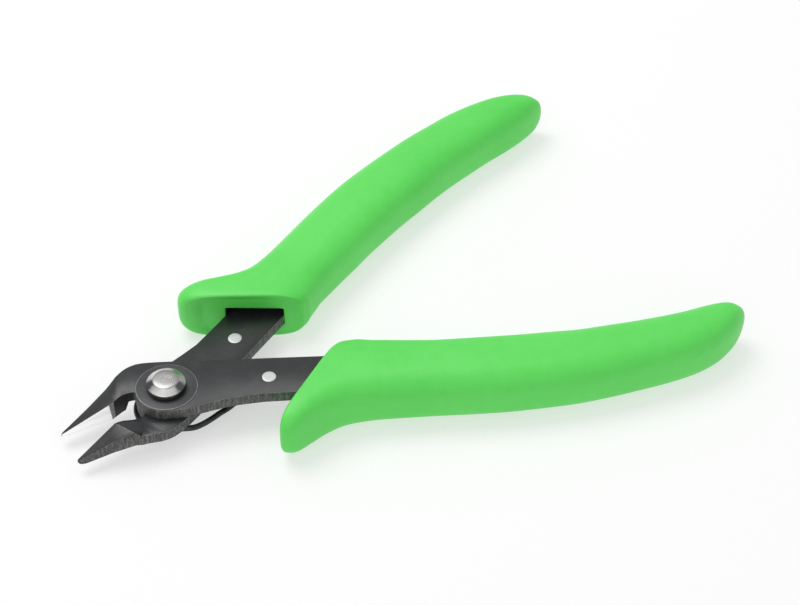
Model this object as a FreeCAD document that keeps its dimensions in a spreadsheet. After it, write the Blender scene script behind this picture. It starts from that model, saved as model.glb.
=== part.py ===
import FreeCAD, Part
import math
import os

import Sketcher

os.makedirs("parts", exist_ok=True)
V = FreeCAD.Vector
doc = FreeCAD.newDocument("SideCutters")

# ---------------------------------------------------------------------------
# Driving dimensions, millimetres and degrees. Local working frame: the pivot
# axis is X = Y = 0, the lap plane between the two levers is Z = 0, the jaws
# point to -X and the handles to +X. shift_x and lap_z carry that frame to the
# part's own origin on the surface the grips rest on.
# ---------------------------------------------------------------------------
sheet = doc.addObject("Spreadsheet::Sheet", "Dims")
row = [0]


def cell(alias, value):
    row[0] += 1
    sheet.set("A%d" % row[0], alias)
    sheet.set("B%d" % row[0], "%.5f" % value)
    sheet.setAlias("B%d" % row[0], alias)


DIMS = {
    "shift_x": -42.435,
    "lap_z": 5.7,
    "plate_thick": 2.28,
    "lap_gap": 0.02,
    "boss_rise": 0.2,
    "hub_rad": 5.8,
    "boss_rad": 5.7,
    "bore_rad": 2.23,
    "shank_rad": 2.2,
    "head_rad": 3.65,
    "head_foot": 2.55,
    "head_rim": 3.65,
    "head_top": 4.55,
    "flat_rad": 2.1,
    "tail_rad": 3.9,
    "tail_top": -2.3,
    "tail_low": -3.9,
    "stud_rad": 1.33,
    "stud_x": 17.45,
    "stud_y": 7.06,
    "stud_proud": 0.08,
    "stud_tail": -3.75,
    "wire_rad": 0.55,
    "wire_z": -2.92,
    "slot_rise": 1.85,
    "loop_rad": 6.7,
    "eye_rad": 1.95,
    "jaw_foot": -3.4,
    "top_level": 1.75,
    "top_dx": 0.43,
    "top_dy": -0.17,
    "foot_level": -2.0,
    "foot_dx": 0.11,
    "ramp_level": -4.418,
    "ramp_dx": -0.444,
    "ramp_dy": 0.241,
    "grip_half": 5.7,
    "grip_round": 1.5,
    "tang_play": 0.08,
    "half_open": 9.6,
}
for key, val in DIMS.items():
    cell(key, val)

# Lever outline seen from above, for a lever whose jaw is at +Y: plate level.
# The two levers differ a little in the shoulder and in the width of the tang.
TIP = [(-19.45, 4.20), (-14.40, 4.85), (-10.10, 6.02)]
NOTCH = [(-6.10, 2.12), (-7.30, 2.34), (-8.20, 2.30), (-9.20, 2.06), (-10.35, 1.80), (-19.80, 3.38)]
PLATE_U = TIP + [
    (-6.70, 7.30), (-5.60, 7.82), (-4.40, 8.18), (-3.10, 8.28), (-1.50, 7.98), (1.00, 6.90), (3.50, 5.60),
    (17.20, -1.53), (29.30, -7.83), (40.00, -14.00), (61.50, -24.60), (62.60, -26.60), (61.80, -28.80),
    (59.80, -29.60), (36.00, -20.60), (20.70, -13.25), (14.60, -10.30), (10.40, -8.70), (5.20, -7.40),
    (2.00, -6.85), (-1.00, -6.10), (-2.40, -5.60), (0.00, 0.00),
] + NOTCH
PLATE_L = TIP + [
    (-6.70, 7.05), (-5.60, 7.42), (-4.40, 7.70), (-3.10, 7.80), (-1.50, 7.55), (1.00, 6.60), (3.50, 5.45),
    (17.05, -1.95), (29.30, -8.30), (40.00, -14.20), (61.50, -24.60), (62.60, -26.60), (61.80, -28.80),
    (59.80, -29.60), (36.00, -21.40), (20.70, -14.40), (14.60, -11.28), (10.40, -9.22), (5.20, -7.72),
    (2.00, -6.95), (-1.00, -6.10), (-2.40, -5.60), (0.00, 0.00),
] + NOTCH
# Jaw below its own plate level, kept clear of the other lever's hub.
JAW = [NOTCH[-1]] + TIP + [(-7.20, 7.00), (-6.10, 5.20), (-6.40, 3.60), (-6.65, 2.24)] + NOTCH[1:-1]
# Grip outline seen from above, for a grip at +Y: nose, back, tail, inner side.
GRIP = [
    (17.80, 14.40), (14.20, 16.60), (12.45, 18.60), (12.95, 20.75), (15.40, 21.65), (18.60, 20.95), (22.00, 20.00),
    (26.00, 19.80), (31.00, 21.30), (36.00, 23.75), (42.00, 26.75), (48.00, 29.85), (54.00, 32.65), (60.00, 35.00),
    (66.00, 37.10), (72.00, 38.85), (78.00, 40.25), (84.00, 41.35), (90.00, 41.90), (95.00, 41.60), (99.00, 40.60),
    (102.40, 38.90), (104.60, 36.60), (104.00, 34.30), (101.00, 32.80), (96.00, 31.50), (90.00, 30.20), (84.00, 28.60),
    (78.00, 26.80), (72.00, 24.75), (66.00, 22.50), (60.00, 20.05), (54.00, 17.40), (48.00, 14.50), (42.00, 11.30),
    (36.00, 8.15), (33.60, 6.95), (32.00, 6.55), (30.40, 7.20),
]
# Mouth of each slot, open on one side of the tang for the first few millimetres.
MOUTH_R = [(14.80, 11.30), (23.00, 15.75), (32.60, 10.00), (24.30, 5.70)]
MOUTH_F = [(17.50, 11.70), (25.80, 16.00), (34.60, 10.70), (26.60, 6.50)]

for tag, pts in (("pu", PLATE_U), ("pw", PLATE_L), ("jw", JAW), ("gr", GRIP), ("mr", MOUTH_R), ("mf", MOUTH_F)):
    for i, (px, py) in enumerate(pts):
        cell("%s_x_%d" % (tag, i), px)
        cell("%s_y_%d" % (tag, i), py)
doc.recompute()


def d(name):
    return float(sheet.get(name))


BASE = V(d("shift_x"), 0, d("lap_z"))


def origin_plane(body, role):
    for f in body.Origin.OriginFeatures:
        if f.Role == role:
            return f
    raise RuntimeError(role)


def body_new(name):
    b = doc.addObject("PartDesign::Body", name)
    b.Label = name
    return b


def sketch_on(body, name, role="XY_Plane"):
    s = body.newObject("Sketcher::SketchObject", name)
    s.AttachmentSupport = [(origin_plane(body, role), "")]
    s.MapMode = "FlatFace"
    return s


def outline(sketch, refs, sign):
    """Closed polygon; every corner is bound to its own pair of cells."""
    pts = [V(d(rx), sign * d(ry), 0) for rx, ry in refs]
    n = len(pts)
    for i in range(n):
        sketch.addGeometry(Part.LineSegment(pts[i], pts[(i + 1) % n]), False)
    for i in range(n):
        sketch.addConstraint(Sketcher.Constraint("Coincident", i, 2, (i + 1) % n, 1))
    for i, (rx, ry) in enumerate(refs):
        for kind, ref, value in (("DistanceX", rx, pts[i].x), ("DistanceY", ry, pts[i].y)):
            k = sketch.addConstraint(Sketcher.Constraint(kind, -1, 1, i, 1, value))
            flip = "-" if (kind == "DistanceY" and sign < 0) else ""
            sketch.setExpression("Constraints[%d]" % k, "%sDims.%s" % (flip, ref))


def refs(tag, pts):
    return [("%s_x_%d" % (tag, i), "%s_y_%d" % (tag, i)) for i in range(len(pts))]


def disc(sketch, rad, x=None, y=None, ysign=1):
    cx = d(x) if x else 0.0
    cy = ysign * d(y) if y else 0.0
    g = sketch.addGeometry(Part.Circle(V(cx, cy, 0), V(0, 0, 1), d(rad)), False)
    k = sketch.addConstraint(Sketcher.Constraint("Radius", g, d(rad)))
    sketch.setExpression("Constraints[%d]" % k, "Dims.%s" % rad)
    if x:
        k = sketch.addConstraint(Sketcher.Constraint("DistanceX", -1, 1, g, 3, cx))
        sketch.setExpression("Constraints[%d]" % k, "Dims.%s" % x)
        k = sketch.addConstraint(Sketcher.Constraint("DistanceY", -1, 1, g, 3, cy))
        sketch.setExpression("Constraints[%d]" % k, "%sDims.%s" % ("-" if ysign < 0 else "", y))
    else:
        sketch.addConstraint(Sketcher.Constraint("Coincident", g, 3, -1, 1))


def pad(body, sketch, name, length_expr, start_expr):
    """Pad upwards from start_expr by length_expr."""
    sketch.setExpression("AttachmentOffset.Base.z", start_expr)
    p = body.newObject("PartDesign::Pad", name)
    p.Profile = sketch
    p.setExpression("Length", length_expr)
    doc.recompute()
    return p


def slab(name, level, dx, dy, above):
    """Box on one side of the plane z = level + dx*x + dy*y (local frame)."""
    n = V(-dx, -dy, 1.0)
    n.normalize()
    b = doc.addObject("Part::Box", name)
    b.Length = 90
    b.Width = 90
    b.Height = 12
    rot = FreeCAD.Rotation(V(0, 0, 1), n)
    corner = rot.multVec(V(-45, -45, 0 if above else -12))
    b.Placement = FreeCAD.Placement(V(0, 0, level) + corner, rot)
    return b


def boolean(kind, name, base, tool):
    o = doc.addObject("Part::" + kind, name)
    o.Base = base
    o.Tool = tool
    doc.recompute()
    return o


def cylinder(name, rad_expr, z_expr, len_expr, x=0.0, y=0.0):
    c = doc.addObject("Part::Cylinder", name)
    c.setExpression("Radius", rad_expr)
    c.setExpression("Height", len_expr)
    c.setExpression("Placement.Base.z", z_expr)
    c.Placement = FreeCAD.Placement(V(x, y, c.Placement.Base.z), FreeCAD.Rotation())
    doc.recompute()
    return c


def lever(name, sign, upper):
    """One lever: plate with jaw and tang, deeper jaw, hub disc, two holes."""
    lo = "Dims.lap_gap" if upper else "-Dims.lap_gap - Dims.plate_thick"
    plate = body_new(name + "_plate")
    s = sketch_on(plate, name + "_plate_sketch")
    outline(s, refs("pu", PLATE_U) if upper else refs("pw", PLATE_L), sign)
    pad(plate, s, name + "_plate_pad", "Dims.plate_thick", lo)
    jaw = body_new(name + "_jaw")
    s = sketch_on(jaw, name + "_jaw_sketch")
    outline(s, refs("jw", JAW), sign)
    pad(jaw, s, name + "_jaw_pad", "Dims.plate_thick + Dims.lap_gap - Dims.jaw_foot", "Dims.jaw_foot")
    hub = cylinder(name + "_hub", "Dims.hub_rad", lo, "Dims.plate_thick")
    shape = boolean("Fuse", name + "_f1", plate, jaw)
    shape = boolean("Fuse", name + "_f2", shape, hub)
    if upper:
        boss = cylinder(name + "_boss", "Dims.boss_rad", "Dims.lap_gap + Dims.plate_thick - 0.1", "Dims.boss_rise + 0.1")
        shape = boolean("Fuse", name + "_f3", shape, boss)
    # sloping top of the jaw: only the jaw side is cut
    top = slab(name + "_top", d("top_level") + 10 * d("top_dx") - 1.7 * abs(d("top_dy")) * -1.0, d("top_dx"), sign * d("top_dy"), True)
    keep = doc.addObject("Part::Box", name + "_topzone")
    keep.Length = 30
    keep.Width = 40
    keep.Height = 30
    keep.Placement = FreeCAD.Placement(V(-36.3, -20, -15), FreeCAD.Rotation())
    top = boolean("Common", name + "_topcut", top, keep)
    shape = boolean("Cut", name + "_c1", shape, top)
    foot = slab(name + "_foot", d("foot_level") + 8 * d("foot_dx"), d("foot_dx"), 0.0, False)
    keep2 = doc.addObject("Part::Box", name + "_footzone")
    keep2.Length = 30
    keep2.Width = 40
    keep2.Height = 30
    keep2.Placement = FreeCAD.Placement(V(-36.05, -20, -15), FreeCAD.Rotation())
    foot = boolean("Common", name + "_footcut", foot, keep2)
    shape = boolean("Cut", name + "_c2", shape, foot)
    if not upper:
        # the jaw's back falls away to the lap plane in front of the other lever's hub
        ramp = slab(name + "_ramp", d("ramp_level"), d("ramp_dx"), sign * d("ramp_dy"), True)
        keep3 = doc.addObject("Part::Box", name + "_rampzone")
        keep3.Length = 30
        keep3.Width = 40
        keep3.Height = 30
        keep3.Placement = FreeCAD.Placement(V(-36.05, -20, -d("lap_gap")), FreeCAD.Rotation())
        ramp = boolean("Common", name + "_rampcut", ramp, keep3)
        shape = boolean("Cut", name + "_c4", shape, ramp)
    bore = cylinder(name + "_bore", "Dims.bore_rad" if upper else "Dims.shank_rad", "-8", "16")
    shape = boolean("Cut", name + "_c3", shape, bore)
    hole = cylinder(name + "_studhole", "Dims.stud_rad", "-8", "16", d("stud_x"), -sign * d("stud_y"))
    shape = boolean("Cut", name, shape, hole)
    return shape


def finish(obj, name):
    obj.Label = name
    doc.recompute()
    return obj


upper = lever("upper_lever", 1, True)
lower = lever("lower_lever", -1, False)

# Rivet: turned profile revolved about the pivot axis.
rivet = body_new("pivot_rivet")
s = sketch_on(rivet, "pivot_rivet_sketch", "XZ_Plane")
prof = [
    ("zero", "tail_low"), ("tail_edge", "tail_low"), ("tail_rad", "tail_mid"), ("tail_rad", "tail_top"), ("shank_rad", "tail_top"),
    ("shank_rad", "head_foot"), ("head_rad", "head_foot"), ("head_rad", "head_rim"), ("flat_rad", "head_top"), ("zero", "head_top"),
]
extra = {"zero": 0.0, "tail_edge": d("tail_rad") - 0.6, "tail_mid": d("tail_low") + 0.7}


def q(name):
    return extra[name] if name in extra else d(name)


pts = [V(q(a), q(b), 0) for a, b in prof]
for i in range(len(pts)):
    s.addGeometry(Part.LineSegment(pts[i], pts[(i + 1) % len(pts)]), False)
for i in range(len(pts)):
    s.addConstraint(Sketcher.Constraint("Coincident", i, 2, (i + 1) % len(pts), 1))
EXPR = {"tail_edge": "Dims.tail_rad - 0.6", "tail_mid": "Dims.tail_low + 0.7"}
for i, (a, b) in enumerate(prof):
    if a == "zero":
        s.addConstraint(Sketcher.Constraint("PointOnObject", i, 1, -2))
    else:
        k = s.addConstraint(Sketcher.Constraint("DistanceX", -1, 1, i, 1, pts[i].x))
        s.setExpression("Constraints[%d]" % k, EXPR.get(a, "Dims." + a))
    k = s.addConstraint(Sketcher.Constraint("DistanceY", -1, 1, i, 1, pts[i].y))
    s.setExpression("Constraints[%d]" % k, EXPR.get(b, "Dims." + b))
rev = rivet.newObject("PartDesign::Revolution", "pivot_rivet_rev")
rev.Profile = s
rev.ReferenceAxis = (s, ["V_Axis"])
rev.Angle = 360
doc.recompute()


def stud(name, sign, upper):
    """Flush stud through one lever with a tail down to the wire."""
    b = body_new(name)
    s = sketch_on(b, name + "_sketch")
    disc(s, "stud_rad", "stud_x", "stud_y", sign)
    top = "Dims.lap_gap + Dims.plate_thick + Dims.stud_proud" if upper else "Dims.stud_proud - Dims.lap_gap"
    pad(b, s, name + "_pad", "%s - Dims.stud_tail" % top, "Dims.stud_tail")
    return b


upper_stud = stud("upper_spring_stud", -1, True)
lower_stud = stud("lower_spring_stud", 1, False)

# Spring wire: an eye on each stud, a gently bowed leg, a loop round the pivot.
wz = d("wire_z")
er = d("eye_rad")
lr = d("loop_rad")
sx, sy = d("stud_x"), d("stud_y")


def leg(sign):
    """Points from the eye of one stud to the start of the pivot loop."""
    return [(sx - er * 0.62, sign * (sy - er * 0.78)), (9.7, sign * 5.75), (5.6, sign * 6.62), (1.8, sign * (lr + 0.05))]


def eye(sign):
    """Open eye round the stud, ending tangent to the leg."""
    pts3 = []
    for k in range(0, 8):
        a = math.radians(60 - 36 * k)
        pts3.append((sx + er * math.cos(a), sign * (sy - 0.0) + sign * er * math.sin(a)))
    return pts3


route = []
route += eye(1)[:7]
route += leg(1)[1:]
for k in range(0, 7):
    a = math.radians(100 + 160.0 * k / 6.0)
    route.append((lr * math.cos(a), lr * math.sin(a)))
route += list(reversed(leg(-1)[1:]))
route += list(reversed(eye(-1)[:7]))
curve = Part.BSplineCurve()
curve.interpolate([V(x, y, wz) for x, y in route])
path = Part.Wire([curve.toShape()])
start = curve.value(curve.FirstParameter)
tangent = curve.tangent(curve.FirstParameter)[0]
ring = Part.Wire([Part.Circle(start, tangent, d("wire_rad")).toShape()])
wire_shape = path.makePipeShell([ring], True, False)
spring = doc.addObject("Part::Feature", "return_spring")
spring.Shape = wire_shape


def grip(name, sign, upper):
    """Moulded sleeve: padded outline with rounded edges, slot for the tang."""
    b = body_new(name + "_solid")
    chain = [V(d(rx), sign * d(ry), 0) for rx, ry in refs("gr", GRIP)]
    sk = sketch_on(b, name + "_outline")
    c = Part.BSplineCurve()
    c.interpolate(chain)
    sk.addGeometry(c, False)
    sk.addGeometry(Part.LineSegment(chain[-1], chain[0]), False)
    p = pad(b, sk, name + "_pad", "2 * Dims.grip_half", "-Dims.grip_half")
    rims = [i + 1 for i, e in enumerate(p.Shape.Edges) if e.BoundBox.ZMax - e.BoundBox.ZMin < 1e-3]
    f = b.newObject("PartDesign::Fillet", name + "_rounding")
    f.Base = (p, ["Edge%d" % i for i in rims])
    b.Tip = f
    for cut in (0.0, 0.3, 0.6, 0.9):
        f.setExpression("Radius", "Dims.grip_round - %.1f" % cut)
        doc.recompute()
        if not f.Shape.isNull() and f.Shape.isValid() and f.Shape.Volume < p.Shape.Volume:
            break
    else:
        raise RuntimeError("rounding of %s failed" % name)
    play = "Dims.tang_play"
    tang = refs("pu", PLATE_U) if upper else refs("pw", PLATE_L)
    slot = body_new(name + "_slot")
    s2 = sketch_on(slot, name + "_slot_sketch")
    outline(s2, tang[8:26], -sign)
    lo = ("Dims.lap_gap - %s" if upper else "-Dims.lap_gap - Dims.plate_thick - %s") % play
    pad(slot, s2, name + "_slot_pad", "Dims.plate_thick + 2 * %s" % play, lo)
    out = boolean("Cut", name + "_slotted", b, slot)
    mouth = body_new(name + "_mouth")
    s3 = sketch_on(mouth, name + "_mouth_sketch")
    outline(s3, refs("mf", MOUTH_F) if upper else refs("mr", MOUTH_R), sign)
    pad(mouth, s3, name + "_mouth_pad", "Dims.slot_rise + Dims.lap_gap", "-Dims.slot_rise" if upper else "-Dims.lap_gap")
    return boolean("Cut", name, out, mouth)


rear = grip("rear_grip", 1, False)
front = grip("front_grip", -1, True)

NODES = {
    "upper_lever": upper,
    "lower_lever": lower,
    "pivot_rivet": rivet,
    "upper_spring_stud": upper_stud,
    "lower_spring_stud": lower_stud,
    "return_spring": spring,
    "front_grip": front,
    "rear_grip": rear,
}
for label, obj in NODES.items():
    obj.Placement = FreeCAD.Placement(BASE, FreeCAD.Rotation())
    obj.Label = label
doc.recompute()
for o in doc.Objects:
    if "Invalid" in o.State or "Error" in o.State:
        raise RuntimeError("failed object %s %s" % (o.Name, o.State))
for label, obj in NODES.items():
    sh = obj.Shape
    if sh.isNull() or not sh.isValid() or len(sh.Solids) != 1:
        raise RuntimeError("bad shape %s null=%s valid=%s solids=%d" % (label, sh.isNull(), sh.isValid(), len(sh.Solids)))
for label, obj in NODES.items():
    obj.Shape.exportStep("parts/%s.step" % label)
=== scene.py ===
import math

import bmesh
import bpy
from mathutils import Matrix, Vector


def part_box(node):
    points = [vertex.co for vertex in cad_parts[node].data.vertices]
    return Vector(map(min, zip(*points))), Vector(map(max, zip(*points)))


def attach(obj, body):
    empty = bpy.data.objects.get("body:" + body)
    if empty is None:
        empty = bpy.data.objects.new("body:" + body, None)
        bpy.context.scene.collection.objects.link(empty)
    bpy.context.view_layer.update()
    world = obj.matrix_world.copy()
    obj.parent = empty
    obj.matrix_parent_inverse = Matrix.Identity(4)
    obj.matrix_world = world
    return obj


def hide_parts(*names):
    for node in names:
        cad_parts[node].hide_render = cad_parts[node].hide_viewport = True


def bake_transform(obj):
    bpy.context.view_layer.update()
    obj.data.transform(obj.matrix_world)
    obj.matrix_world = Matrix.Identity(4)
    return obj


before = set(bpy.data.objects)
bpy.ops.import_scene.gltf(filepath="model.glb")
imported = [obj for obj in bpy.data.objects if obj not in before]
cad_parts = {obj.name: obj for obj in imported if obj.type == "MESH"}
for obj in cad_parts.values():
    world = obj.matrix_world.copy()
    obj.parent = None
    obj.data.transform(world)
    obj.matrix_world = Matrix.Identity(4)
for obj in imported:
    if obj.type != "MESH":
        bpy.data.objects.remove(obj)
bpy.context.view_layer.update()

# ---------------------------------------------------------------------------
# Local frame: millimetres, pivot axis at x = y = 0, lap plane at z = 0.
# ---------------------------------------------------------------------------
lo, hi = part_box("pivot_rivet")
PX = 0.5 * (lo[0] + hi[0])
PY = 0.5 * (lo[1] + hi[1])
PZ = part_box("lower_spring_stud")[1][2] - 0.00006
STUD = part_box("lower_spring_stud")
SX = (0.5 * (STUD[0][0] + STUD[1][0]) - PX) * 1000.0
SY = (0.5 * (STUD[0][1] + STUD[1][1]) - PY) * 1000.0


def W(x, y, z):
    return Vector((PX + x * 0.001, PY + y * 0.001, PZ + z * 0.001))


def link(obj):
    bpy.context.scene.collection.objects.link(obj)
    return obj


def from_bmesh(name, bm, mats=(), sharp=30.0):
    bmesh.ops.recalc_face_normals(bm, faces=bm.faces[:])
    me = bpy.data.meshes.new(name)
    bm.to_mesh(me)
    bm.free()
    for p in me.polygons:
        p.use_smooth = True
    if sharp is not None:
        me.set_sharp_from_angle(angle=math.radians(sharp))
    o = bpy.data.objects.new(name, me)
    for m in mats:
        me.materials.append(m)
    return link(o)


def baked(obj, sharp=30.0):
    """Replaces the mesh by its evaluated one, modifiers included."""
    dg = bpy.context.evaluated_depsgraph_get()
    dg.update()
    me = bpy.data.meshes.new_from_object(obj.evaluated_get(dg), preserve_all_data_layers=True, depsgraph=dg)
    obj.modifiers.clear()
    old = obj.data
    obj.data = me
    me.name = old.name + "_m"
    for p in me.polygons:
        p.use_smooth = True
    if sharp is not None:
        me.set_sharp_from_angle(angle=math.radians(sharp))
    return obj


def catmull(pts, per, closed=False):
    """Centripetal-free Catmull-Rom through the points, per steps a span."""
    n = len(pts)
    out = []
    spans = n if closed else n - 1
    for i in range(spans):
        p1, p2 = Vector(pts[i % n]), Vector(pts[(i + 1) % n])
        p0 = Vector(pts[(i - 1) % n]) if (closed or i > 0) else p1 + (p1 - p2)
        p3 = Vector(pts[(i + 2) % n]) if (closed or i + 2 < n) else p2 + (p2 - p1)
        for k in range(per):
            t = k / per
            t2, t3 = t * t, t * t * t
            out.append(0.5 * ((2 * p1) + (p2 - p0) * t + (2 * p0 - 5 * p1 + 4 * p2 - p3) * t2 + (3 * p1 - p0 - 3 * p2 + p3) * t3))
    if not closed:
        out.append(Vector(pts[-1]))
    return out


# ---------------------------------------------------------------------------
# Materials
# ---------------------------------------------------------------------------
class Mat:
    """Small helper round one node tree."""

    def __init__(self, name, color, rough, metal=0.0, spec=0.5):
        self.m = bpy.data.materials.new(name)
        self.m.use_nodes = True
        self.t = self.m.node_tree
        self.b = self.t.nodes["Principled BSDF"]
        self.b.inputs["Base Color"].default_value = (*color, 1)
        self.b.inputs["Roughness"].default_value = rough
        self.b.inputs["Metallic"].default_value = metal
        self.b.inputs["Specular IOR Level"].default_value = spec
        self.tc = self.t.nodes.new("ShaderNodeTexCoord")
        self.mp = self.map((1000, 1000, 1000))

    def node(self, kind, **kw):
        n = self.t.nodes.new(kind)
        for k, v in kw.items():
            if k.startswith("_"):
                n.inputs[k[1:].replace("_", " ")].default_value = v
            else:
                setattr(n, k, v)
        return n

    def wire(self, a, b):
        self.t.links.new(a, b)

    def map(self, scale, loc=(0, 0, 0), rot=(0, 0, 0)):
        n = self.t.nodes.new("ShaderNodeMapping")
        n.inputs["Scale"].default_value = scale
        n.inputs["Location"].default_value = loc
        n.inputs["Rotation"].default_value = rot
        self.wire(self.tc.outputs["Object"], n.inputs["Vector"])
        return n

    def noise(self, scale, detail=3.0, rough=0.55, mapping=None):
        n = self.t.nodes.new("ShaderNodeTexNoise")
        n.inputs["Scale"].default_value = scale
        n.inputs["Detail"].default_value = detail
        n.inputs["Roughness"].default_value = rough
        self.wire((mapping or self.mp).outputs["Vector"], n.inputs["Vector"])
        return n.outputs["Fac"]

    def ramp(self, fac, stops):
        n = self.t.nodes.new("ShaderNodeValToRGB")
        els = n.color_ramp.elements
        while len(els) < len(stops):
            els.new(0.5)
        for e, (p, c) in zip(els, stops):
            e.position = p
            e.color = (*c, 1) if len(c) == 3 else (c[0], c[0], c[0], 1)
        self.wire(fac, n.inputs["Fac"])
        return n.outputs["Color"]

    def span(self, fac, a, b, lo_=0.0, hi_=1.0):
        n = self.t.nodes.new("ShaderNodeMapRange")
        n.inputs["From Min"].default_value = lo_
        n.inputs["From Max"].default_value = hi_
        n.inputs["To Min"].default_value = a
        n.inputs["To Max"].default_value = b
        self.wire(fac, n.inputs["Value"])
        return n.outputs["Result"]

    def math(self, op, a, b=None, c=None):
        n = self.t.nodes.new("ShaderNodeMath")
        n.operation = op
        for k, v in enumerate((a, b, c)):
            if v is None:
                continue
            if isinstance(v, (int, float)):
                n.inputs[k].default_value = v
            else:
                self.wire(v, n.inputs[k])
        return n.outputs[0]

    def mix(self, fac, a, b):
        n = self.t.nodes.new("ShaderNodeMix")
        n.data_type = "RGBA"
        for sock, v in ((n.inputs[0], fac), (n.inputs[6], a), (n.inputs[7], b)):
            if isinstance(v, (int, float)):
                sock.default_value = v
            elif isinstance(v, tuple):
                sock.default_value = (*v, 1)
            else:
                self.wire(v, sock)
        return n.outputs[2]

    def bump(self, height, strength, dist):
        n = self.t.nodes.new("ShaderNodeBump")
        n.inputs["Strength"].default_value = strength
        n.inputs["Distance"].default_value = dist
        self.wire(height, n.inputs["Height"])
        self.wire(n.outputs["Normal"], self.b.inputs["Normal"])
        return n

    def polar(self):
        """Radius in mm and angle (radians) about the pivot axis."""
        n = self.t.nodes.new("ShaderNodeVectorMath")
        n.operation = "SUBTRACT"
        self.wire(self.tc.outputs["Object"], n.inputs[0])
        n.inputs[1].default_value = (PX, PY, 0)
        sep = self.t.nodes.new("ShaderNodeSeparateXYZ")
        self.wire(n.outputs[0], sep.inputs[0])
        x, y = sep.outputs[0], sep.outputs[1]
        r = self.math("MULTIPLY", self.math("SQRT", self.math("ADD", self.math("MULTIPLY", x, x), self.math("MULTIPLY", y, y))), 1000.0)
        a = self.math("ARCTAN2", y, x)
        return r, a


def mat_black(name, along, boss=False):
    """Black-oxide steel: bluish black, fine draw lines and handling marks."""
    k = Mat(name, (0.018, 0.019, 0.021), 0.33, 0.0, 0.5)
    cloud = k.noise(0.35, 4, 0.6)
    fine = k.noise(3.2, 3, 0.6)
    lines_map = k.map((260, 5200, 5200), rot=(0, 0, along))
    lines = k.noise(1.0, 4, 0.7, lines_map)
    mix = k.math("ADD", k.math("MULTIPLY", cloud, 0.6), k.math("MULTIPLY", fine, 0.4))
    col = k.ramp(mix, [(0.30, (0.011, 0.012, 0.014)), (0.55, (0.020, 0.021, 0.023)), (0.72, (0.036, 0.037, 0.038))])
    scratch = k.ramp(lines, [(0.0, (0.0,)), (0.66, (0.0,)), (0.80, (1.0,))])
    col = k.mix(k.math("MULTIPLY", scratch, 0.25), col, (0.12, 0.12, 0.12))
    height = k.math("ADD", k.math("MULTIPLY", lines, 0.5), k.math("MULTIPLY", fine, 0.5))
    rough = k.span(fine, 0.26, 0.40)
    r, a = k.polar()
    # the jaws are scoured: greyer grain towards the tips
    grain = k.noise(5.0, 4, 0.75)
    jaw = k.math("MULTIPLY", k.span(r, 0.0, 1.0, 9.0, 13.0), k.math("LESS_THAN", k.math("COSINE", a), 0.0))
    speck = k.ramp(grain, [(0.0, (0.0,)), (0.52, (0.0,)), (0.68, (1.0,))])
    col = k.mix(k.math("MULTIPLY", k.math("MULTIPLY", jaw, speck), 0.75 if not boss else 0.20), col, (0.085, 0.085, 0.083))
    if boss:
        ring = k.math("SINE", k.math("MULTIPLY", r, 26.0))
        inside = k.math("LESS_THAN", r, 5.72)
        near = k.math("MULTIPLY", inside, k.math("GREATER_THAN", r, 3.0))
        height = k.math("ADD", height, k.math("MULTIPLY", k.math("MULTIPLY", ring, near), 0.45))
        col = k.mix(k.math("MULTIPLY", k.math("MULTIPLY", near, k.span(ring, 0.0, 1.0, 0.0, 1.0)), 0.6), col, (0.070, 0.075, 0.085))
    k.wire(col, k.b.inputs["Base Color"])
    k.wire(rough, k.b.inputs["Roughness"])
    k.bump(height, 0.30, 0.00006)
    return k.m


def mat_wall(name):
    """Blanked edge of the plate: grey, grainy, with vertical tear marks."""
    k = Mat(name, (0.08, 0.08, 0.078), 0.55, 0.2, 0.4)
    streak = k.noise(1.0, 4, 0.7, k.map((2600, 2600, 420)))
    grain = k.noise(5.5, 4, 0.75)
    mix = k.math("ADD", k.math("MULTIPLY", streak, 0.4), k.math("MULTIPLY", grain, 0.6))
    col = k.ramp(mix, [(0.36, (0.024, 0.024, 0.025)), (0.50, (0.080, 0.080, 0.078)), (0.62, (0.26, 0.26, 0.25))])
    k.wire(col, k.b.inputs["Base Color"])
    k.wire(k.span(grain, 0.42, 0.68), k.b.inputs["Roughness"])
    k.bump(mix, 0.6, 0.00012)
    return k.m


def mat_dark(name, color, rough):
    """Dull surface with a little mottling; used for painted shade in the sleeve slots and the jaw throats, and for
    the plain grey heel and ring rim.
    """
    k = Mat(name, color, rough, 0.0, 0.3)
    cloud = k.noise(2.0, 3, 0.6)
    lo_c = tuple(c * 0.7 for c in color)
    hi_c = tuple(c * 1.5 for c in color)
    k.wire(k.ramp(cloud, [(0.3, lo_c), (0.7, hi_c)]), k.b.inputs["Base Color"])
    k.wire(k.span(cloud, rough - 0.06, rough + 0.06), k.b.inputs["Roughness"])
    return k.m


def mat_edge(name):
    """Rubbed edge: oxide worn through in patches."""
    k = Mat(name, (0.25, 0.25, 0.25), 0.36, 0.75, 0.5)
    patch = k.noise(0.9, 4, 0.65)
    grain = k.noise(6.0, 3, 0.6)
    mix = k.math("ADD", k.math("MULTIPLY", patch, 0.7), k.math("MULTIPLY", grain, 0.3))
    k.wire(k.ramp(mix, [(0.38, (0.050, 0.051, 0.052)), (0.52, (0.17, 0.17, 0.17)), (0.66, (0.48, 0.48, 0.475))]), k.b.inputs["Base Color"])
    return k.m


def mat_ground(name):
    """Freshly ground cutting face: bright, fine parallel grinding lines."""
    k = Mat(name, (0.98, 0.98, 0.975), 0.16, 1.0, 0.5)
    lines = k.noise(1.0, 3, 0.7, k.map((6500, 6500, 300)))
    k.wire(k.ramp(lines, [(0.3, (0.96, 0.96, 0.955)), (0.7, (1.0, 1.0, 1.0))]), k.b.inputs["Base Color"])
    k.wire(k.span(lines, 0.12, 0.20), k.b.inputs["Roughness"])
    k.bump(lines, 0.25, 0.00004)
    return k.m


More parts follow.
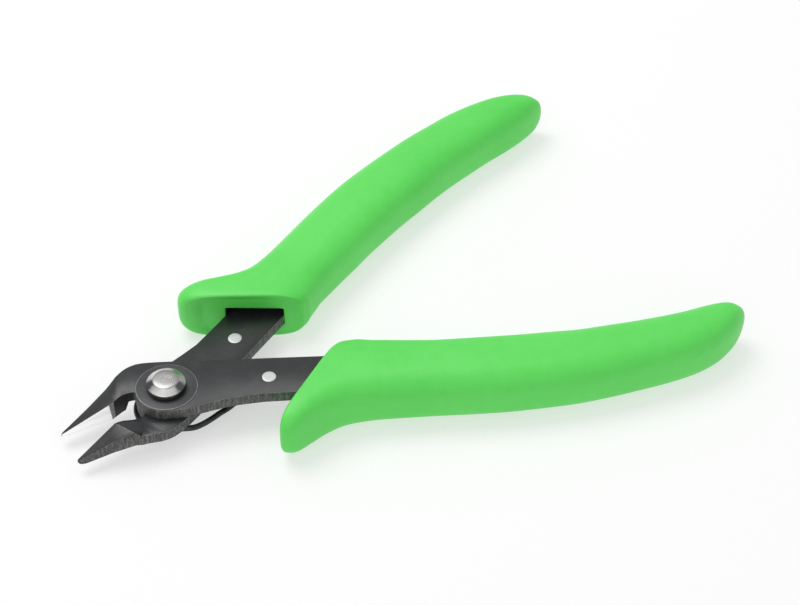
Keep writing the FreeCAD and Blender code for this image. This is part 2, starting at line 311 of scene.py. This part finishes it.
def mat_rivet(name):
    """Turned bright steel with fine lathe rings; the bright and dark wedges on the chamfer are painted reflections,
    and the dark side of the head is painted shade.
    """
    k = Mat(name, (0.70, 0.70, 0.69), 0.25, 1.0, 0.5)
    r, a = k.polar()
    ring = k.noise(1.0, 2, 0.5, k.map((1000, 1000, 1000)))
    comb = k.node("ShaderNodeCombineXYZ")
    k.wire(k.math("MULTIPLY", r, 9.0), comb.inputs[0])
    k.wire(k.math("MULTIPLY", k.math("SINE", a), 0.35), comb.inputs[1])
    k.wire(k.math("MULTIPLY", k.math("COSINE", a), 0.35), comb.inputs[2])
    lathe = k.node("ShaderNodeTexNoise")
    lathe.inputs["Scale"].default_value = 1.6
    lathe.inputs["Detail"].default_value = 3
    k.wire(comb.outputs[0], lathe.inputs["Vector"])
    fac = lathe.outputs["Fac"]
    base = k.ramp(fac, [(0.3, (0.44, 0.44, 0.43)), (0.7, (0.58, 0.58, 0.57))])
    cone = k.math("MULTIPLY", k.math("GREATER_THAN", r, 2.44), k.math("LESS_THAN", r, 3.66))
    base = k.mix(k.math("MULTIPLY", k.math("LESS_THAN", r, 2.36), 0.75), base, (0.28, 0.275, 0.265))

    def painted_reflection_wedge(deg, inner, outer):
        c = k.math("COSINE", k.math("SUBTRACT", k.math("ADD", a, k.math("MULTIPLY", ring, 0.25)), math.radians(deg) + 0.12))
        return k.math("MULTIPLY", cone, k.span(c, 0.0, 1.0, outer, inner))

    # painted reflections: two bright and two dark wedges round the chamfer stand in for the studio mirrored in the
    # cone
    base = k.mix(k.math("MULTIPLY", painted_reflection_wedge(-118, 0.96, 0.62), 0.8), base, (0.98, 0.98, 0.97))
    base = k.mix(k.math("MULTIPLY", painted_reflection_wedge(118, 0.97, 0.70), 0.5), base, (0.90, 0.90, 0.89))
    base = k.mix(k.math("MULTIPLY", painted_reflection_wedge(166, 0.985, 0.93), 0.88), base, (0.045, 0.045, 0.045))
    base = k.mix(k.math("MULTIPLY", painted_reflection_wedge(-56, 0.985, 0.92), 0.85), base, (0.06, 0.06, 0.06))
    # painted shade: the side and underside of the head are painted near black
    side = k.math("GREATER_THAN", r, 3.60)
    base = k.mix(k.math("MULTIPLY", side, 0.85), base, (0.10, 0.10, 0.10))
    k.wire(base, k.b.inputs["Base Color"])
    k.wire(k.span(fac, 0.2, 0.36), k.b.inputs["Roughness"])
    k.bump(fac, 0.25, 0.00004)
    return k.m


def mat_stud(name):
    """Bright flat-ground stud end."""
    k = Mat(name, (0.60, 0.60, 0.595), 0.45, 0.3, 0.5)
    fine = k.noise(1.0, 3, 0.6, k.map((900, 5200, 900), rot=(0, 0, 0.5)))
    k.wire(k.ramp(fine, [(0.3, (0.50, 0.505, 0.50)), (0.7, (0.66, 0.665, 0.66))]), k.b.inputs["Base Color"])
    k.wire(k.span(fine, 0.36, 0.5), k.b.inputs["Roughness"])
    k.bump(fine, 0.15, 0.00003)
    return k.m


def mat_wire(name):
    """Black spring wire with faint drawing marks."""
    k = Mat(name, (0.03, 0.03, 0.033), 0.34, 0.5, 0.5)
    cloud = k.noise(1.3, 3, 0.6)
    k.wire(k.ramp(cloud, [(0.35, (0.018, 0.018, 0.02)), (0.7, (0.06, 0.06, 0.063))]), k.b.inputs["Base Color"])
    k.wire(k.span(cloud, 0.28, 0.44), k.b.inputs["Roughness"])
    k.bump(k.noise(4.0, 2), 0.2, 0.00004)
    return k.m


def mat_green(name):
    """Satin moulded vinyl: faint mottling, soft pits and a waxy sheen."""
    k = Mat(name, (0.105, 0.70, 0.098), 0.42, 0.0, 0.5)
    cloud = k.noise(0.055, 3, 0.5)
    mid = k.noise(0.5, 3, 0.55)
    fine = k.noise(3.4, 3, 0.6)
    mix = k.math("ADD", k.math("MULTIPLY", cloud, 0.65), k.math("MULTIPLY", mid, 0.35))
    col = k.ramp(mix, [(0.32, (0.090, 0.665, 0.084)), (0.52, (0.105, 0.700, 0.098)), (0.72, (0.120, 0.730, 0.112))])
    k.wire(col, k.b.inputs["Base Color"])
    k.wire(k.span(mid, 0.37, 0.50), k.b.inputs["Roughness"])
    k.b.inputs["Subsurface Weight"].default_value = 0.06
    k.b.inputs["Subsurface Radius"].default_value = (0.4, 1.0, 0.4)
    k.b.inputs["Subsurface Scale"].default_value = 0.0012
    k.bump(k.math("ADD", k.math("MULTIPLY", fine, 0.6), k.math("MULTIPLY", mid, 0.9)), 0.22, 0.00010)
    return k.m


M_BLACK_U = mat_black("black_oxide_upper", math.radians(27), boss=True)
M_BLACK_L = mat_black("black_oxide_lower", math.radians(-27))
M_WALL = mat_wall("blanked_edge")
M_EDGE = mat_edge("worn_edge")
M_GROUND = mat_ground("ground_face")
M_RIVET = mat_rivet("turned_rivet")
M_STUD = mat_stud("stud_end")
M_WIRE = mat_wire("spring_wire")
M_GREEN = mat_green("green_vinyl")
M_CAVITY = mat_dark("slot_shadow", (0.012, 0.075, 0.012), 0.7)
M_THROAT_SHADE = mat_dark("throat_painted_shade", (0.016, 0.016, 0.017), 0.5)
M_RIM = mat_dark("ring_rim", (0.20, 0.20, 0.20), 0.35)
M_HEEL = mat_dark("heel_face", (0.20, 0.20, 0.198), 0.5)

# ---------------------------------------------------------------------------
# Levers
# ---------------------------------------------------------------------------
T_TOP = 2.3
HUB_R = 5.8
H_OPEN = math.radians(9.6)


def jaw_top(x, ya):
    return 1.8 + 0.43 * (x + 10.0) - 0.17 * (ya - 1.7)


def jaw_foot(x):
    return -2.0 + 0.115 * (x + 8.0)


# (x, y) on the top surface, (x, y) on the foot; the jaw at +Y.
JAW_IN = [
    ((-6.75, 2.28), (-6.75, 2.28)), ((-7.50, 2.38), (-7.50, 2.38)), ((-8.15, 2.34), (-8.15, 2.34)),
    ((-8.90, 2.20), (-8.90, 2.16)), ((-9.75, 2.02), (-9.75, 1.94)), ((-10.70, 2.06), (-10.45, 1.80)),
]
CREASE = -11.45
TIP_IN = ((-19.84, 3.50), (-19.92, 3.44))
JAW_OUT = [
    ((-19.84, 3.62), (-19.86, 3.95)), ((-19.62, 3.80), (-19.50, 4.42)), ((-18.80, 4.02), (-18.60, 4.78)),
    ((-14.00, 5.00), (-13.80, 5.36)), ((-9.50, 6.15), (-9.50, 6.12)), ((-8.30, 6.66), (-8.30, 6.66)),
]
SHOULDER_U = [(-6.95, 7.20), (-6.05, 7.62), (-5.20, 7.98), (-4.30, 8.20), (-3.35, 8.28), (-2.35, 8.20), (-1.40, 7.93), (-0.30, 7.47), (1.00, 6.86), (3.50, 5.60)]
SHOULDER_L = [(-6.95, 6.95), (-6.05, 7.25), (-5.20, 7.52), (-4.30, 7.70), (-3.35, 7.78), (-2.35, 7.70), (-1.40, 7.48), (-0.30, 7.12), (1.00, 6.60), (3.50, 5.45)]
TANG_U = [(10.0, 2.22), (17.20, -1.53), (29.30, -7.83), (40.00, -14.00), (61.50, -24.60), (62.60, -26.60), (61.80, -28.80), (59.80, -29.60), (36.00, -20.60), (20.70, -13.25)]
TANG_L = [(10.0, 1.95), (17.05, -1.95), (29.30, -8.30), (40.00, -14.20), (61.50, -24.60), (62.60, -26.60), (61.80, -28.80), (59.80, -29.60), (36.00, -21.90), (20.70, -14.40)]
OUTER_U = [(14.60, -10.30), (10.40, -8.70), (7.60, -7.90), (5.20, -7.40), (3.40, -7.08), (2.00, -6.85), (0.60, -6.50), (-0.70, -6.05)]
OUTER_L = [(14.60, -11.28), (10.40, -9.22), (7.60, -8.38), (5.20, -7.72), (3.40, -7.25), (2.00, -6.95), (0.60, -6.55), (-0.70, -6.08)]


def lever_outline(upper):
    """List of (top_xy, foot_xy, group) round the lever, jaw at +Y."""
    pts = []
    for a, b in JAW_IN:
        pts.append((a, b, "jin"))
    a, b = JAW_IN[-1]
    c, e = TIP_IN
    first = (CREASE - a[0]) / (c[0] - a[0])
    for k in range(0, 9):
        t = first + (1 - first) * k / 9.0
        pts.append(((a[0] + (c[0] - a[0]) * t, a[1] + (c[1] - a[1]) * t), (b[0] + (e[0] - b[0]) * t, b[1] + (e[1] - b[1]) * t), "cut"))
    pts.append((TIP_IN[0], TIP_IN[1], "tip"))
    for a, b in JAW_OUT:
        pts.append((a, b, "jout"))
    for p in (SHOULDER_U + TANG_U + OUTER_U) if upper else (SHOULDER_L + TANG_L + OUTER_L):
        pts.append((p, p, "plate"))
    a0, a1 = math.radians(250.0), math.radians(162.0)
    for k in range(0, 17):
        a = a0 + (a1 - a0) * k / 16.0
        pts.append(((HUB_R * math.cos(a), HUB_R * math.sin(a)), (HUB_R * math.cos(a), HUB_R * math.sin(a)), "hub"))
    pts.append(((-5.72, 2.02), (-5.72, 2.02), "hub"))
    pts.append(((-6.15, 2.18), (-6.15, 2.18), "hub"))
    return pts


def build_lever(name, sign, upper, black):
    pts = lever_outline(upper)
    n = len(pts)
    bm = bmesh.new()
    plate_top = T_TOP if upper else -0.02
    plate_low = 0.02 if upper else -2.3
    idx = {}
    for i, (a, b, g) in enumerate(pts):
        idx[a] = i
    i_heel = idx[(-10.70, 2.06)]
    i_crease = i_heel + 1
    i_975 = idx[(-9.75, 2.02)]
    i_750 = idx[(-7.50, 2.38)]
    i_675 = idx[(-6.75, 2.28)]
    o_950 = idx[(-9.50, 6.15)]
    o_830 = idx[(-8.30, 6.66)]
    o_695 = idx[SHOULDER_U[0] if upper else SHOULDER_L[0]]
    T, B = [], []
    for i, (a, b, g) in enumerate(pts):
        ya = a[1]
        if upper:
            zt = plate_top
            if g in ("cut", "tip", "jout") or (g == "jin" and a[0] < -8.8):
                zt = min(plate_top, jaw_top(a[0], ya))
            jaw = g in ("cut", "tip", "jout") or (g == "jin" and a[0] < -7.4)
            zb = jaw_foot(b[0]) if jaw else plate_low
        else:
            zt = plate_top
            if i_crease <= i <= o_950:
                zt = min(T_TOP, jaw_top(a[0], ya))
            elif g == "jin":
                # the back of the jaw falls away in front of the hub
                u = (a[0] + 6.75) / (CREASE + 6.75)
                zt = plate_top + (jaw_top(CREASE, 2.2) - plate_top) * u
            zb = min(plate_low, jaw_foot(b[0])) if g in ("cut", "tip", "jout", "jin") else plate_low
        T.append(bm.verts.new(W(a[0], sign * a[1], zt)))
        B.append(bm.verts.new(W(b[0], sign * b[1], zb)))

    def cyc(i, j):
        """Indices from i to j going up round the outline."""
        out = [i]
        while out[-1] != j:
            out.append((out[-1] + 1) % n)
        return out

    def poly(vs, mat=0):
        f = bm.faces.new(vs)
        f.material_index = mat
        return f

    if upper:
        i_890 = idx[(-8.90, 2.20)]
        poly([T[i] for i in cyc(i_890, o_695)])
        poly([T[i] for i in cyc(o_695, i_890)])
        # underside: jaw foot, ramp, plate
        inner = [(-7.25, 3.9), (-7.30, 5.0), (-7.70, 6.0)]
        outer_ = [(-6.75, 3.9), (-6.55, 5.0), (-6.70, 6.2)]
        lowp = [bm.verts.new(W(x, sign * y, jaw_foot(x))) for x, y in inner]
        highp = [bm.verts.new(W(x, sign * y, plate_low)) for x, y in outer_]
        poly([B[i] for i in cyc(i_750, o_830)] + list(reversed(lowp)))
        ramp_in = [B[i_750]] + lowp + [B[o_830]]
        ramp_out = [B[i_675]] + highp + [B[o_695]]
        for k in range(len(ramp_in) - 1):
            poly([ramp_in[k], ramp_in[k + 1], ramp_out[k + 1], ramp_out[k]], 2)
        poly([B[i] for i in cyc(o_695, i_675)] + highp)
    else:
        # top: jaw slope down from the crease, long ramp behind it, then plate
        ci, co = pts[i_crease][0], pts[o_950][0]
        fi, fo = pts[i_675][0], pts[o_830][0]
        steps = 4
        hi_v, lo_v = [], []
        for k in range(1, steps):
            t = k / steps
            x, y = ci[0] + (co[0] - ci[0]) * t, ci[1] + (co[1] - ci[1]) * t
            hi_v.append(bm.verts.new(W(x, sign * y, jaw_top(x, y))))
        for x, y in ((-6.85, 3.3), (-7.05, 4.4), (-7.55, 5.6)):
            lo_v.append(bm.verts.new(W(x, sign * y, plate_top)))
        poly([T[i] for i in cyc(i_crease, o_950)] + list(reversed(hi_v)))
        jin = [T[i] for i in reversed(cyc(i_675, i_heel))]
        # inner fan: the notch edge against the first ramp strip
        poly([T[i_crease]] + jin + [lo_v[0], hi_v[0]])
        for k in range(steps - 2):
            poly([hi_v[k], hi_v[k + 1], lo_v[k + 1], lo_v[k]])
        poly([hi_v[-1], T[o_950], T[o_830], lo_v[-1]])
        poly([T[i] for i in cyc(o_830, i_675)] + lo_v)
        # underside: sloping foot of the jaw and flat plate
        poly([B[i] for i in cyc(i_975, o_950)])
        poly([B[i] for i in cyc(o_950, i_975)])
    for i in range(n):
        j = (i + 1) % n
        g0, g1 = pts[i][2], pts[j][2]
        ground = i >= i_heel and (g0 == "cut" or g1 == "cut")
        quad = [T[i], T[j], B[j], B[i]]
        mat = 2
        if ground:
            mat = 3
        elif i == i_975:
            mat = 5
        # mat 4: the throat walls between the jaws and the hub faces beside them get near-black painted shade
        elif g0 == "jin" or (g0 == "hub" and pts[i][0][1] > 1.9):
            mat = 4
        poly(quad, mat)
    bmesh.ops.remove_doubles(bm, verts=bm.verts[:], dist=1e-7)
    if upper:
        # raised bearing ring round the rivet
        seg = 96
        prof = [(2.5, 2.28), (2.5, 2.5), (5.56, 2.5), (5.66, 2.47), (5.72, 2.39), (5.74, 2.28)]
        rows = []
        for r, z in prof:
            rows.append([bm.verts.new(W(r * math.cos(2 * math.pi * k / seg), r * math.sin(2 * math.pi * k / seg), z)) for k in range(seg)])
        for a in range(len(rows)):
            b = (a + 1) % len(rows)
            for k in range(seg):
                f = bm.faces.new([rows[a][k], rows[a][(k + 1) % seg], rows[b][(k + 1) % seg], rows[b][k]])
                f.material_index = 6 if a in (2, 3) else 0
    bmesh.ops.triangulate(bm, faces=[f for f in bm.faces if len(f.verts) > 8])
    o = from_bmesh(name, bm, [black, M_EDGE, M_WALL, M_GROUND, M_THROAT_SHADE, M_HEEL, M_RIM], sharp=None)
    mod = o.modifiers.new("bev", "BEVEL")
    mod.width = 0.00013
    mod.segments = 2
    mod.limit_method = "ANGLE"
    mod.angle_limit = math.radians(38)
    mod.use_clamp_overlap = True
    mod.material = 1
    mod.harden_normals = False
    mod.miter_outer = "MITER_ARC"
    return baked(o, 28.0)


upper_lever = build_lever("upper_lever_steel", 1, True, M_BLACK_U)
lower_lever = build_lever("lower_lever_steel", -1, False, M_BLACK_L)
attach(upper_lever, "upper_half")
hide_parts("upper_lever")
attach(lower_lever, "lower_half")
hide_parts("lower_lever")


# ---------------------------------------------------------------------------
# Turned pieces
# ---------------------------------------------------------------------------
def lathe(name, cx, cy, profile, seg, mats, mat_of=lambda k: 0, sharp=32.0):
    bm = bmesh.new()
    rows = []
    for r, z in profile:
        if r <= 1e-9:
            rows.append([bm.verts.new(W(cx, cy, z))])
        else:
            rows.append([bm.verts.new(W(cx + r * math.cos(2 * math.pi * k / seg), cy + r * math.sin(2 * math.pi * k / seg), z)) for k in range(seg)])
    for a in range(len(rows) - 1):
        p, q = rows[a], rows[a + 1]
        for k in range(seg):
            k2 = (k + 1) % seg
            if len(p) == 1:
                f = bm.faces.new([p[0], q[k], q[k2]])
            elif len(q) == 1:
                f = bm.faces.new([p[k], p[k2], q[0]])
            else:
                f = bm.faces.new([p[k], p[k2], q[k2], q[k]])
            f.material_index = mat_of(a)
    return from_bmesh(name, bm, mats, sharp)


rivet = lathe("rivet_turned", 0, 0, [
    (0, 4.55), (1.0, 4.555), (2.16, 4.55), (2.32, 4.52), (2.41, 4.46), (2.50, 4.39), (3.44, 3.79), (3.56, 3.72), (3.63, 3.62), (3.65, 3.50),
    (3.65, 2.68), (3.61, 2.57), (3.50, 2.53), (2.20, 2.53), (2.20, -2.30), (3.74, -2.30), (3.86, -2.36), (3.90, -2.48), (3.90, -3.20),
    (3.84, -3.40), (3.25, -3.84), (3.05, -3.90), (0, -3.90)], 128, [M_RIVET])
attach(rivet, "lower_half")
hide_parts("pivot_rivet")


def stud(name, sign, top, foot, body, node):
    o = lathe(name, SX, sign * SY, [
        (0, top), (0.9, top - 0.005), (1.20, top - 0.02), (1.29, top - 0.06), (1.33, top - 0.13), (1.33, foot + 0.9), (1.33, foot + 0.33),
        (1.30, foot + 0.15), (1.18, foot + 0.03), (0.9, foot), (0, foot)], 64, [M_STUD])
    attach(o, body)
    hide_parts(node)
    return o


stud("stud_upper_bright", -1, 2.38, -1.3, "upper_half", "upper_spring_stud")
stud("stud_lower_bright", 1, 0.06, -3.75, "lower_half", "lower_spring_stud")

# ---------------------------------------------------------------------------
# Spring wire
# ---------------------------------------------------------------------------
WIRE_R = 0.55
WIRE_Z = -2.92
LOOP_R = 5.95
EYE_R = 1.93


def spring_path():
    def half(sign, eye_z):
        """From the free end of the eye to the start of the pivot loop."""
        p = (9.7, 5.75)
        ang = math.atan2(SY - p[1], SX - p[0])
        dist = math.hypot(SX - p[0], SY - p[1])
        tan = ang - math.asin(EYE_R / dist)
        a0 = tan - math.pi / 2
        pts = []
        for k in range(0, 22):
            a = a0 + math.radians(262) * (1 - k / 21.0)
            pts.append((SX + EYE_R * math.cos(a), sign * (SY + EYE_R * math.sin(a)), eye_z))
        mid = WIRE_Z + (eye_z - WIRE_Z) * 0.62
        leg = [pts[-1], (13.4, sign * 5.42, mid), (9.7, sign * 5.72, WIRE_Z), (7.4, sign * 6.20, WIRE_Z), (5.4, sign * 6.70, WIRE_Z), (3.4, sign * 7.02, WIRE_Z), (1.6, sign * 6.92, WIRE_Z)]
        leg.append((LOOP_R * math.cos(math.radians(97)), sign * LOOP_R * math.sin(math.radians(97)), WIRE_Z))
        smooth = [tuple(v) for v in catmull(leg, 8)]
        return pts[:-1] + smooth

    first = half(1, WIRE_Z)
    last = list(reversed(half(-1, -0.64)))
    loop = []
    for k in range(1, 40):
        a = math.radians(97 + (263 - 97) * k / 40.0)
        loop.append((LOOP_R * math.cos(a), LOOP_R * math.sin(a), WIRE_Z))
    return first + loop + last


def tube(name, pts, r, mats, seg=24):
    bm = bmesh.new()
    rows = []
    n = len(pts)
    for i, (x, y, z) in enumerate(pts):
        a = Vector(pts[max(i - 1, 0)])
        b = Vector(pts[min(i + 1, n - 1)])
        t = (b - a).normalized()
        nrm = Vector((-t.y, t.x, 0)).normalized()
        top = t.cross(nrm)
        row = []
        for k in range(seg):
            c, s = math.cos(2 * math.pi * k / seg), math.sin(2 * math.pi * k / seg)
            row.append(bm.verts.new(W(x + nrm.x * r * c + top.x * r * s, y + nrm.y * r * c + top.y * r * s, z + top.z * r * s)))
        rows.append(row)
    for a in range(n - 1):
        for k in range(seg):
            k2 = (k + 1) % seg
            bm.faces.new([rows[a][k], rows[a][k2], rows[a + 1][k2], rows[a + 1][k]])
    for end, row in ((0, rows[0]), (1, rows[-1])):
        ins = [bm.verts.new(v.co.lerp(sum((w.co for w in row), Vector()) / seg, 0.25)) for v in row]
        for k in range(seg):
            k2 = (k + 1) % seg
            bm.faces.new([row[k], row[k2], ins[k2], ins[k]])
        bm.faces.new(ins)
    return from_bmesh(name, bm, mats, 40.0)


spring = tube("spring_wire_bent", spring_path(), WIRE_R, [M_WIRE])
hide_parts("return_spring")
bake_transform(spring)

# ---------------------------------------------------------------------------
# Handle sleeves
# ---------------------------------------------------------------------------
# back point, inner point, half height, squareness; the sleeve at +Y.
STATIONS_R = [
    ((15.00, 15.75), (29.50, 7.00), 4.35, 4.2),
    ((13.20, 16.20), (30.70, 6.35), 5.05, 4.2),
    ((11.85, 17.20), (31.60, 6.00), 5.45, 4.0),
    ((11.40, 18.75), (32.40, 6.20), 5.64, 3.8),
    ((12.27, 20.56), (33.20, 6.47), 5.70, 3.6),
    ((14.89, 21.25), (34.34, 7.29), 5.70, 3.4),
    ((18.33, 20.40), (35.99, 8.37), 5.70, 3.2),
    ((21.79, 19.51), (38.15, 9.80), 5.70, 3.0),
    ((25.79, 19.49), (41.00, 11.22), 5.70, 2.9),
    ((30.68, 21.21), (44.91, 13.07), 5.70, 2.8),
    ((35.63, 23.70), (49.02, 14.87), 5.70, 2.7),
    ((41.60, 26.75), (53.74, 17.14), 5.70, 2.7),
    ((47.68, 29.70), (58.80, 19.26), 5.70, 2.7),
    ((53.75, 32.36), (63.82, 21.29), 5.70, 2.7),
    ((59.84, 34.49), (68.87, 23.06), 5.70, 2.7),
    ((65.94, 36.33), (73.89, 24.91), 5.70, 2.7),
    ((71.96, 37.99), (78.92, 26.50), 5.70, 2.7),
    ((77.99, 39.21), (83.96, 27.83), 5.70, 2.7),
    ((83.97, 40.28), (88.70, 29.02), 5.68, 2.7),
    ((89.92, 40.61), (93.23, 29.95), 5.60, 2.7),
    ((94.79, 40.32), (97.04, 30.91), 5.45, 2.7),
    ((98.63, 39.37), (100.25, 31.90), 5.10, 2.6),
    ((101.54, 38.05), (102.51, 32.81), 4.35, 2.5),
    ((103.34, 36.62), (104.06, 33.87), 3.05, 2.3),
    ((104.09, 35.85), (104.79, 34.90), 1.60, 2.1),
]
STATIONS_F = [
    ((15.24, 17.41), (29.85, 8.60), 4.35, 4.2),
    ((13.87, 18.39), (30.99, 7.97), 5.05, 4.2),
    ((13.21, 19.23), (31.62, 7.48), 5.45, 4.0),
    ((12.96, 19.79), (32.31, 7.04), 5.64, 3.8),
    ((13.10, 20.70), (33.46, 6.75), 5.70, 3.6),
    ((14.72, 21.57), (34.83, 6.94), 5.70, 3.4),
    ((17.96, 21.06), (36.57, 7.64), 5.70, 3.2),
    ((21.41, 20.43), (38.62, 8.98), 5.70, 3.0),
    ((25.37, 20.41), (41.33, 10.66), 5.70, 2.9),
    ((30.32, 21.91), (45.03, 12.86), 5.70, 2.8),
    ((35.35, 24.25), (48.95, 14.99), 5.70, 2.7),
    ((41.39, 27.17), (53.65, 17.27), 5.70, 2.7),
    ((47.42, 30.21), (58.60, 19.59), 5.70, 2.7),
    ((53.41, 33.03), (63.51, 21.86), 5.70, 2.7),
    ((59.38, 35.45), (68.42, 24.00), 5.70, 2.7),
    ((65.31, 37.64), (73.26, 26.15), 5.70, 2.7),
    ((71.29, 39.30), (78.21, 27.84), 5.70, 2.7),
    ((77.26, 40.63), (83.10, 29.55), 5.70, 2.7),
    ((83.20, 41.83), (87.74, 30.96), 5.68, 2.7),
    ((89.16, 42.58), (92.17, 32.15), 5.60, 2.7),
    ((94.17, 42.32), (95.95, 32.87), 5.45, 2.7),
    ((98.16, 41.22), (99.11, 33.52), 5.10, 2.6),
    ((101.18, 39.72), (101.23, 34.23), 4.35, 2.5),
    ((103.14, 38.19), (102.56, 35.13), 3.05, 2.3),
    ((103.90, 37.23), (103.26, 35.97), 1.60, 2.1),
]
SLOT_R = ((18.75, 13.49), (28.30, 7.73))
SLOT_F = ((21.45, 13.62), (30.20, 8.36))


def sleeve(name, sign, upper, mats):
    seg = 72
    per = 5
    STATIONS, SLOT = (STATIONS_F, SLOT_F) if upper else (STATIONS_R, SLOT_R)
    back = catmull([(p[0][0], p[0][1], 0) for p in STATIONS], per)
    inn = catmull([(p[1][0], p[1][1], 0) for p in STATIONS], per)
    hs = catmull([(p[2], p[3], 0) for p in STATIONS], per)
    bm = bmesh.new()
    rows = []
    for b, a, h in zip(back, inn, hs):
        c = (a + b) * 0.5
        l = (b - a) * 0.5
        row = []
        e = 2.0 / h.y
        for k in range(seg):
            t = 2 * math.pi * (k + 0.5) / seg
            ct, st = math.cos(t), math.sin(t)
            u = math.copysign(abs(ct) ** e, ct)
            v = math.copysign(abs(st) ** e, st)
            row.append(bm.verts.new(W(c.x + l.x * u, sign * (c.y + l.y * u), h.x * v)))
        rows.append(row)
    for i in range(len(rows) - 1):
        for k in range(seg):
            k2 = (k + 1) % seg
            bm.faces.new([rows[i][k], rows[i][k2], rows[i + 1][k2], rows[i + 1][k]])
    end = (back[-1] + inn[-1]) * 0.5
    pole = bm.verts.new(W(end.x + 0.25, sign * (end.y - 0.02), 0))
    for k in range(seg):
        bm.faces.new([rows[-1][k], rows[-1][(k + 1) % seg], pole])
    # front face: rings shrink on to the slot, then walls go in
    z0, z1 = (-1.85, 2.42) if upper else (-2.42, 1.85)
    s0, s1 = Vector(SLOT[0]), Vector(SLOT[1])
    sc, sl = (s0 + s1) * 0.5, (s0 - s1) * 0.5
    zc, zh = 0.5 * (z0 + z1), 0.5 * (z1 - z0)
    fwd = Vector((-0.496, -0.868))
    b0, a0 = back[0], inn[0]

    def rect(k, grow):
        t = 2 * math.pi * (k + 0.5) / seg
        ct, st = math.cos(t), math.sin(t)
        m = max(abs(ct), abs(st))
        u, v = ct / m, st / m
        lx = sl.normalized() * (sl.length + grow)
        return sc.x + lx.x * u, sc.y + lx.y * u, zc + (zh + grow) * v

    first = rows[0]
    cx = sum((v.co for v in first), Vector()) / seg
    rings = [first]

    def push(fn):
        rings.append([bm.verts.new(fn(k)) for k in range(seg)])

    def local(v):
        return ((v.co.x - PX) * 1000, sign * (v.co.y - PY) * 1000, (v.co.z - PZ) * 1000)

    base = [local(v) for v in first]
    for frac, lift in ((0.12, 0.03), (0.40, 0.04), (0.72, 0.04)):
        def fn(k, frac=frac, lift=lift):
            r = rect(k, 0.35)
            x, y, z = (base[k][j] + (r[j] - base[k][j]) * frac for j in range(3))
            return W(x + fwd.x * lift, sign * (y + fwd.y * lift), z)
        push(fn)
    for grow, lift in ((0.35, 0.04), (0.14, 0.02), (0.04, -0.05), (0.0, -0.45), (0.0, -5.0)):
        def fn(k, grow=grow, lift=lift):
            x, y, z = rect(k, grow)
            return W(x + fwd.x * lift, sign * (y + fwd.y * lift), z)
        push(fn)
    for i in range(len(rings) - 1):
        for k in range(seg):
            k2 = (k + 1) % seg
            f = bm.faces.new([rings[i][k], rings[i][k2], rings[i + 1][k2], rings[i + 1][k]])
            f.material_index = 1 if i >= len(rings) - 2 else 0
    bm.faces.new(rings[-1]).material_index = 1
    return from_bmesh(name, bm, mats, 50.0)


rear = sleeve("rear_sleeve_vinyl", 1, False, [M_GREEN, M_CAVITY])
front = sleeve("front_sleeve_vinyl", -1, True, [M_GREEN, M_CAVITY])
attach(rear, "lower_half")
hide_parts("rear_grip")
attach(front, "upper_half")
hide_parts("front_grip")

# ---------------------------------------------------------------------------
# Floor, light, camera
# ---------------------------------------------------------------------------
bm = bmesh.new()
R = 6.0
floor_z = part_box("rear_grip")[0][2] - 0.00002
fv = [bm.verts.new((x * R, y * R, floor_z)) for x, y in ((-1, -1), (1, -1), (1, 1), (-1, 1))]
bm.faces.new(fv)
me = bpy.data.meshes.new("floor")
bm.to_mesh(me)
bm.free()
floor = link(bpy.data.objects.new("floor", me))
mf = bpy.data.materials.new("pale_floor")
mf.use_nodes = True
fb = mf.node_tree.nodes["Principled BSDF"]
fb.inputs["Base Color"].default_value = (0.42, 0.42, 0.42, 1)
fb.inputs["Emission Color"].default_value = (1, 1, 1, 1)
fb.inputs["Emission Strength"].default_value = 0.55
fb.inputs["Roughness"].default_value = 0.85
fb.inputs["Specular IOR Level"].default_value = 0.2
me.materials.append(mf)

world = bpy.data.worlds.new("studio")
bpy.context.scene.world = world
world.use_nodes = True
bg = world.node_tree.nodes["Background"]
bg.inputs["Color"].default_value = (1, 1, 1, 1)
bg.inputs["Strength"].default_value = 0.62


def area(name, loc, target, size, power):
    ld = bpy.data.lights.new(name, "AREA")
    ld.shape = "DISK"
    ld.size = size
    ld.energy = power
    o = link(bpy.data.objects.new(name, ld))
    o.location = loc
    d = Vector(target) - Vector(loc)
    o.rotation_euler = d.to_track_quat("-Z", "Y").to_euler()
    return o


area("key", (-0.10, 0.35, 0.75), (0.0, 0.0, 0.0), 0.55, 3.4)
area("fill", (-0.55, -0.45, 0.55), (0.0, 0.0, 0.0), 0.60, 0.5)

cam_data = bpy.data.cameras.new("view_camera")
cam_data.sensor_width = 36.0
cam_data.lens = 90.0
cam_data.clip_start = 0.01
cam_data.clip_end = 20.0
cam = link(bpy.data.objects.new("view_camera", cam_data))
cam.location = W(-89.65, -237.47, 269.81)
cam.rotation_euler = (math.radians(90 - 44.48), 0.0, math.radians(-30.37))
bpy.context.scene.camera = cam
bpy.context.scene.view_settings.view_transform = "Standard"
bpy.context.scene.view_settings.look = "None"
